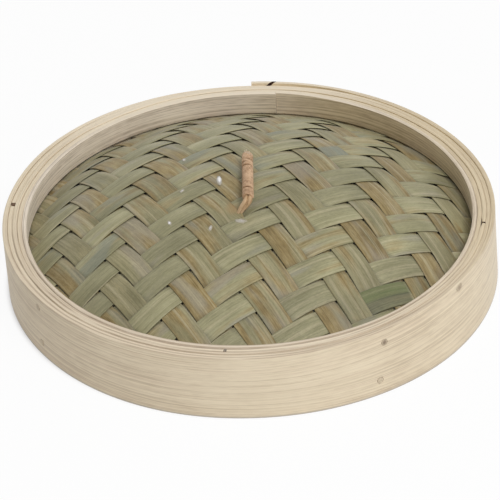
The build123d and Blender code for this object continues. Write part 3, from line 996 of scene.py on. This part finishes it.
# Handle: the bail's route from one hook to the other
level = Vector((BACK_FOOT.x - FRONT_FOOT.x, BACK_FOOT.y - FRONT_FOOT.y, 0)).normalized()
sideways = level.cross(up)
front_bar = FRONT_FOOT + level * LEG_RUN + sideways * (FRONT_KINK + FRONT_SHIFT)
front_bar.z = BAR_HEIGHT
back_bar = BACK_FOOT - level * LEG_RUN + sideways * BACK_SHIFT
back_bar.z = BAR_HEIGHT
front_turn = LEANING_FOOT - up * HOOK_DROP
back_turn = BACK_FOOT + (BACK_FOOT - back_bar).normalized() * HOOK_DROP
bail_route = [
    front_turn + level * HOOK_LENGTH,
    front_turn,
    LEANING_FOOT,
    front_bar,
    back_bar,
    back_turn,
    back_turn - level * HOOK_LENGTH,
]


def bail_recipe():
    """A cane bent through its corners, split along its middle into two strands."""
    plan = Recipe("bent_bail")
    route = plan.ask("Route", "Geometry")
    radius, bend, slit, slit_width = plan.asks("Cane Radius", "Bend Radius", "Slit Depth", "Slit Width")
    splay, splay_from, splay_to = plan.asks("Splay", "Splay From", "Splay To")
    side = plan.ask("Sideways", "Vector")
    points = plan.ask("Points Along", "Int")
    material = plan.ask("Material", "Material")
    path = plan.field("GeometryNodeMeshToCurve", route)
    path = plan.node("GeometryNodeFilletCurve", Curve=path, Radius=bend, Count=10, settings={"mode": "POLY"})
    path = plan.node("GeometryNodeResampleCurve", Curve=plan.out(path), Count=points)
    path = plan.keep(plan.out(path), "turn", plan.field("GeometryNodeSplineParameter"))
    path = plan.keep(path, "core", plan.position(), kind="FLOAT_VECTOR")
    heading = plan.field("GeometryNodeInputTangent")
    path = plan.keep(path, "heading", heading, kind="FLOAT_VECTOR")
    ring = plan.node("GeometryNodeCurvePrimitiveCircle", Resolution=36, Radius=1.0)
    ring = plan.keep(plan.out(ring), "ring", plan.position(), kind="FLOAT_VECTOR")
    body = plan.field("GeometryNodeCurveToMesh", Curve=path, Profile_Curve=ring, Fill_Caps=True)
    ring_x, ring_y, _ = plan.split(plan.kept("ring", "FLOAT_VECTOR"))
    body = plan.keep(body, "section", ring_x + ring_y * 2.0)
    across = ring_x / slit_width
    groove = 1.0 - slit * plan.math("POWER", 2.718, -(across * across))
    rising = plan.vector_math("CROSS_PRODUCT", plan.kept("heading", "FLOAT_VECTOR"), side)
    turn = plan.kept("turn")
    middle = (splay_from + splay_to) * 0.5
    from_middle = plan.math("ABSOLUTE", turn - middle)
    spread = plan.smooth(from_middle, (splay_to - splay_from) * 0.5, 0.0) * splay + 1.0
    sideward = ring_x * radius * spread
    place = plan.vector_math("ADD", plan.kept("core", "FLOAT_VECTOR"), plan.scaled(side, sideward))
    place = plan.vector_math("ADD", place, plan.scaled(rising, ring_y * groove * radius))
    body = plan.place(body, place)
    plan.serve(plan.sharpen(body, math.radians(60)), material)
    return plan


bail_look = bail_recipe().make(
    "handle_bail_cane",
    {
        "Cane Radius": CANE,
        "Bend Radius": BAIL_BEND,
        "Slit Depth": 0.6,
        "Slit Width": 0.16,
        "Splay": 0.6,
        "Splay From": 0.165,
        "Splay To": 0.33,
        "Sideways": sideways,
        "Points Along": 220,
        "Material": bail_finish,
    },
    bail_route,
    [(n, n + 1) for n in range(len(bail_route) - 1)],
)

# Where the binding lies
bar_axis = (back_bar - front_bar).normalized()
bar_side = bar_axis.cross(up).normalized()
bar_up = bar_side.cross(bar_axis)
bar_middle = (front_bar + back_bar) / 2
wrap_start = bar_middle - bar_axis * (WRAP_TURNS * WRAP_SPACING / 2)


def wrap_recipe():
    """Flat cane wound in one unbroken length, with a few turns that have slipped apart."""
    plan = Recipe("wound_cane")
    turns, spacing, core, thick, wide = plan.asks("Turns", "Spacing", "Core Radius", "Thickness", "Width")
    slips = plan.asks("First Slip", "Second Slip", "Third Slip")
    slip, seed = plan.asks("Slip", "Seed")
    start, axis, side, rising = plan.asks("Start", "Axis", "Side", "Rising", kind="Vector")
    points = plan.ask("Points Along", "Int")
    material = plan.ask("Material", "Material")
    line = plan.node("GeometryNodeCurvePrimitiveLine")
    line.inputs["End"].default_value = (1.0, 0.0, 0.0)
    path = plan.node("GeometryNodeResampleCurve", Curve=plan.out(line), Count=points)
    factor = plan.field("GeometryNodeSplineParameter")
    path = plan.keep(plan.out(path), "turn", factor * turns)
    section = plan.node("GeometryNodeCurvePrimitiveCircle", Resolution=20, Radius=1.0)
    section = plan.keep(plan.out(section), "ring", plan.position(), kind="FLOAT_VECTOR")
    body = plan.field("GeometryNodeCurveToMesh", Curve=path, Profile_Curve=section, Fill_Caps=True)

    turn = plan.kept("turn")
    ring_x, ring_y, _ = plan.split(plan.kept("ring", "FLOAT_VECTOR"))
    body = plan.keep(body, "section", ring_x)

    def square(value):
        """Fills the round section out towards a flat strip with rounded edges."""
        sign = plan.math("SIGN", value)
        return sign * plan.math("POWER", plan.math("ABSOLUTE", value), 0.55)

    angle = turn * (2 * math.pi)
    uneven = plan.noise(plan.vector(turn * 1.7, seed, 0.0), detail=2.0) - 0.5
    distance = core + thick * 0.5 + square(ring_x) * thick * 0.5 + uneven * 0.3 * MM
    shift = turn * (spacing - slip * 3.0 / turns)
    for place in slips:
        shift = shift + slip * plan.smooth(turn, place - 0.15, place + 0.15)
    shift = shift + square(ring_y) * wide * 0.5
    around_x = plan.math("COSINE", angle) * distance
    around_y = plan.math("SINE", angle) * distance
    spot = plan.vector_math("ADD", start, plan.scaled(axis, shift))
    spot = plan.vector_math("ADD", spot, plan.scaled(side, around_x))
    spot = plan.vector_math("ADD", spot, plan.scaled(rising, around_y))
    body = plan.place(body, spot)
    plan.serve(plan.sharpen(body, math.radians(60)), material)
    return plan


wrap_look = wrap_recipe().make(
    "handle_wrap_cane",
    {
        "Turns": WRAP_TURNS,
        "Spacing": WRAP_SPACING,
        "Core Radius": WRAP_CORE,
        "Thickness": WRAP_THICKNESS,
        "Width": 2.03 * MM,
        "First Slip": 2.8,
        "Second Slip": 12.8,
        "Third Slip": 14.3,
        "Slip": 1.5 * MM,
        "Seed": 2.0,
        "Start": wrap_start,
        "Axis": bar_axis,
        "Side": bar_side,
        "Rising": bar_up,
        "Points Along": WRAP_POINTS,
        "Material": wrap_finish,
    },
)

# Camera: the photograph's own, 500 pixels square
PHOTO = 500
FOCAL = 3558.2
DISTANCE = 14.5592 * LID_RADIUS
ELEVATION = math.radians(34.976)
ROLL = math.radians(-2.66)
AIM_X, AIM_Y = 250.97 - PHOTO / 2, 269.81 - PHOTO / 2
eye = Vector((0, -DISTANCE * math.cos(ELEVATION), DISTANCE * math.sin(ELEVATION)))
ahead = -eye.normalized()
right = Vector((1, 0, 0))
above = right.cross(ahead)
ahead = (ahead - right * (AIM_X / FOCAL) + above * (AIM_Y / FOCAL)).normalized()
right = (right - ahead * right.dot(ahead)).normalized()
above = right.cross(ahead)
rolled_right = right * math.cos(ROLL) + above * math.sin(ROLL)
rolled_above = above * math.cos(ROLL) - right * math.sin(ROLL)
camera_data = bpy.data.cameras.new("camera")
camera_data.sensor_width = 36.0
camera_data.lens = FOCAL * camera_data.sensor_width / PHOTO
camera_data.clip_end = 50.0
camera = bpy.data.objects.new("camera", camera_data)
bpy.context.scene.collection.objects.link(camera)
camera.matrix_world = Matrix(
    (
        (rolled_right.x, rolled_above.x, -ahead.x, eye.x),
        (rolled_right.y, rolled_above.y, -ahead.y, eye.y),
        (rolled_right.z, rolled_above.z, -ahead.z, eye.z),
        (0, 0, 0, 1),
    )
)
bpy.context.scene.camera = camera

# Drops dried on the weave: where the camera sees each one, length, slimness, turn in degrees, and the
# strength of the painted glint in its middle
DROPS = (
    (219.5, 180.5, 9.5, 0.3, 4.0, 0.84),
    (182.0, 191.0, 3.2, 0.6, -40.0, 0.6),
    (169.5, 223.0, 3.4, 0.6, 20.0, 0.75),
    (241.0, 221.0, 5.6, 0.6, 80.0, 0.45),
    (210.5, 228.0, 4.2, 0.45, -15.0, 0.6),
    (184.0, 160.0, 3.6, 0.5, 10.0, 0.55),
)


def weave_surface():
    """A search tree over both directions of strips."""
    spots, faces = [], []
    for strips in (warp_strips, weft_strips):
        base = len(spots)
        spots += [vertex.co.copy() for vertex in strips.data.vertices]
        faces += [[base + n for n in polygon.vertices] for polygon in strips.data.polygons]
    return BVHTree.FromPolygons(spots, faces)


surface = weave_surface()


def seen_at(pixel_x, pixel_y):
    """Where a line of sight meets the weave."""
    way = ahead * FOCAL + rolled_right * (pixel_x - PHOTO / 2) - rolled_above * (pixel_y - PHOTO / 2)
    spot, upright, _, _ = surface.ray_cast(eye, way.normalized())
    return spot, upright


def drop_recipe():
    """Flat drops drawn out along one direction."""
    plan = Recipe("dried_drops")
    points = plan.ask("Drop Points", "Geometry")
    length, slim, flat = plan.asks("Length", "Slimness", "Flatness")
    turn, white, seed = plan.asks("Turn", "Glint Strength", "Seed")
    upright = plan.ask("Upright", "Vector")
    material = plan.ask("Material", "Material")
    bead = plan.node("GeometryNodeMeshUVSphere", Segments=20, Rings=12, Radius=0.5)
    round_x, round_y, round_z = plan.split(plan.position())
    # The painted glint: whiter towards each drop's middle, by its strength
    middle = 1.0 - (round_x * round_x + round_y * round_y) * 4.0
    shape = plan.keep(plan.out(bead), "middle", middle * white)
    lumpy = plan.noise(plan.vector(round_x * 3.0 + seed, round_y * 3.0, round_z * 3.0), detail=1.0) + 0.5
    shape = plan.place(shape, plan.vector(round_x * slim * lumpy, round_y * lumpy, round_z * flat))
    about = plan.vector(0.0, 0.0, turn)
    lying = plan.field(
        "FunctionNodeAlignRotationToVector", Rotation=about, Vector=upright, settings={"axis": "Z"}
    )
    copies = plan.field(
        "GeometryNodeInstanceOnPoints", Points=points, Instance=shape, Rotation=lying, Scale=length
    )
    beads = plan.field("GeometryNodeSetShadeSmooth", copies)
    plan.serve(beads, material)
    return plan


drop = drop_recipe()
drops = []
for number, (pixel_x, pixel_y, length, slimness, turn, glint_strength) in enumerate(DROPS, 1):
    spot, upright = seen_at(pixel_x, pixel_y)
    sizes = {
        "Length": length * MM,
        "Slimness": slimness,
        "Flatness": 0.12,
        "Turn": math.radians(turn),
        "Glint Strength": glint_strength,
        "Upright": upright,
        "Seed": 3.0 * number,
        "Material": drop_finish,
    }
    drops.append(drop.make(f"dried_drop_{number}", sizes, [spot]))


def fray_recipe():
    """Fibres that have sprung loose at the end of the binding."""
    plan = Recipe("frayed_fibres")
    points = plan.ask("Fibre Points", "Geometry")
    length, thick, spread, seed = plan.asks("Length", "Thickness", "Spread", "Seed")
    count = plan.ask("Fibres", "Int")
    lean = plan.ask("Lean", "Vector")
    material = plan.ask("Material", "Material")
    bend = plan.node("GeometryNodeCurveQuadraticBezier", Resolution=8)
    bend.inputs["Start"].default_value = (0.0, 0.0, 0.0)
    plan.feed(bend.inputs["Middle"], plan.vector(0.0, 0.0, length * 0.6))
    plan.feed(bend.inputs["End"], plan.vector(length * 0.45, 0.0, length))
    ring = plan.field("GeometryNodeCurvePrimitiveCircle", Resolution=5, Radius=thick)
    fibre = plan.node("GeometryNodeCurveToMesh", Curve=plan.out(bend), Profile_Curve=ring, Fill_Caps=True)
    single = {"domain": "POINT"}
    spots = plan.node("GeometryNodeDuplicateElements", Geometry=points, Amount=count, settings=single)
    index = plan.out(spots, "Duplicate Index")
    tip_x, tip_y, tip_z = plan.split(lean)
    turn = plan.vector(
        tip_x + (plan.white(index * 1.7 + seed) - 0.5) * spread,
        tip_y + (plan.white(index * 2.3 + seed) - 0.5) * spread,
        tip_z + plan.white(index * 3.1 + seed) * 6.28,
    )
    size = plan.white(index * 4.9 + seed) * 0.7 + 0.4
    copies = plan.field(
        "GeometryNodeInstanceOnPoints",
        Points=plan.out(spots),
        Instance=plan.out(fibre),
        Rotation=turn,
        Scale=size,
    )
    plan.serve(plan.field("GeometryNodeSetShadeSmooth", copies), material)
    return plan


wrap_far = wrap_start + bar_axis * (WRAP_TURNS * WRAP_SPACING)
frayed = fray_recipe().make(
    "frayed_fibres",
    {
        "Length": 1.7 * MM,
        "Thickness": 0.17 * MM,
        "Spread": 2.0,
        "Seed": 6.0,
        "Fibres": 5,
        "Lean": Vector((-0.5, -0.35, 0.0)),
        "Material": fibre_finish,
    },
    [
        wrap_far + bar_up * (WRAP_REACH - 0.5 * MM) - bar_side * (0.3 * MM) - bar_axis * (0.8 * MM),
        wrap_far + bar_up * (WRAP_REACH - 0.7 * MM) + bar_side * (1.2 * MM) - bar_axis * (2.4 * MM),
    ],
)

# What each piece stands for and rides on
warps = [f"warp_strip_{n:02d}" for n in range(1, STRIP_COUNT + 1)]
wefts = [f"weft_strip_{n:02d}" for n in range(1, STRIP_COUNT + 1)]
for piece, body, slot, nodes in (
    (warp_strips, "lid", "warp_bamboo", warps),
    (weft_strips, "lid", "weft_bamboo", wefts),
    (outer_look, "lid", "hoop_bamboo", ["outer_hoop"]),
    (second_look, "lid", "hoop_bamboo", ["second_hoop"]),
    (middle_look, "lid", "hoop_bamboo", ["middle_hoop"]),
    (inner_look, "lid", "hoop_bamboo", ["inner_hoop"]),
    (upper_look, "lid", "ring_bamboo", ["upper_clamp_ring"]),
    (lower_look, "lid", "ring_bamboo", ["lower_clamp_ring"]),
    (upper_row, "lid", "peg_bamboo", ["upper_pegs"]),
    (lower_row, "lid", "peg_bamboo", ["lower_pegs"]),
    (lap_row, "lid", "peg_bamboo", ["lap_pegs"]),
    (bail_look, "handle", "bail_cane", ["handle_bail"]),
    (wrap_look, "handle", "wrap_cane", ["handle_wrap"]),
):
    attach(piece, body)
    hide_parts(*nodes)
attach(frayed, "handle")
for drop_piece in drops:
    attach(drop_piece, "lid")

# Floor, light and background
FLOOR = 6.0
floor_corners = [(-FLOOR, -FLOOR, 0), (FLOOR, -FLOOR, 0), (FLOOR, FLOOR, 0), (-FLOOR, FLOOR, 0)]
floor_mesh = bpy.data.meshes.new("floor")
floor_mesh.from_pydata(floor_corners, [], [(0, 1, 2, 3)])
floor = bpy.data.objects.new("floor", floor_mesh)
bpy.context.scene.collection.objects.link(floor)


def seen_directly(wiring):
    """One where the camera, a reflection or a clear piece looks, and nought for light."""
    path = wiring.node("ShaderNodeLightPath")
    direct = wiring.out(path, "Is Camera Ray") + wiring.out(path, "Is Glossy Ray")
    return wiring.math("MINIMUM", direct + wiring.out(path, "Is Transmission Ray"), 1.0)


def floor_finish():
    """White paper that keeps a faint shadow."""
    material = bpy.data.materials.new("floor_paper")
    material.use_nodes = True
    wiring = Wiring(material.node_tree)
    material.node_tree.nodes.clear()
    matt = wiring.field("ShaderNodeBsdfDiffuse", (0.85, 0.85, 0.85, 1.0))
    glow = wiring.field("ShaderNodeEmission", (1.0, 1.0, 1.0, 1.0), 1.0)
    place = wiring.out(wiring.node("ShaderNodeTexCoord"), "Object")
    x, y, _ = wiring.split(place)
    clear = wiring.smooth(wiring.length(x, y), LID_RADIUS - 4 * MM, LID_RADIUS + 2 * MM)
    mixed = wiring.node("ShaderNodeMixShader", seen_directly(wiring) * clear * 0.93, matt, glow)
    wiring.feed(wiring.node("ShaderNodeOutputMaterial").inputs["Surface"], wiring.out(mixed))
    return material


floor_mesh.materials.append(floor_finish())

world = bpy.data.worlds.new("studio")
bpy.context.scene.world = world
world.use_nodes = True
studio = Wiring(world.node_tree)
backdrop = world.node_tree.nodes["Background"]
backdrop.inputs["Color"].default_value = (1.0, 1.0, 1.0, 1.0)
AMBIENT = 0.47
studio.feed(backdrop.inputs["Strength"], seen_directly(studio) * (1.0 - AMBIENT) + AMBIENT)


def softbox(name, place, size, power):
    """A square lamp that faces the lid."""
    lamp = bpy.data.lights.new(name, "AREA")
    lamp.size = size
    lamp.energy = power
    holder = bpy.data.objects.new(name, lamp)
    holder.location = place
    holder.rotation_mode = "QUATERNION"
    holder.rotation_quaternion = (-Vector(place)).to_track_quat("-Z", "Y")
    bpy.context.scene.collection.objects.link(holder)


softbox("key", (0.66, -1.15, 1.89), 0.8, 27.0)
softbox("fill", (2.0, -0.3, 0.9), 1.5, 4.0)
bpy.context.scene.view_settings.view_transform = "Standard"
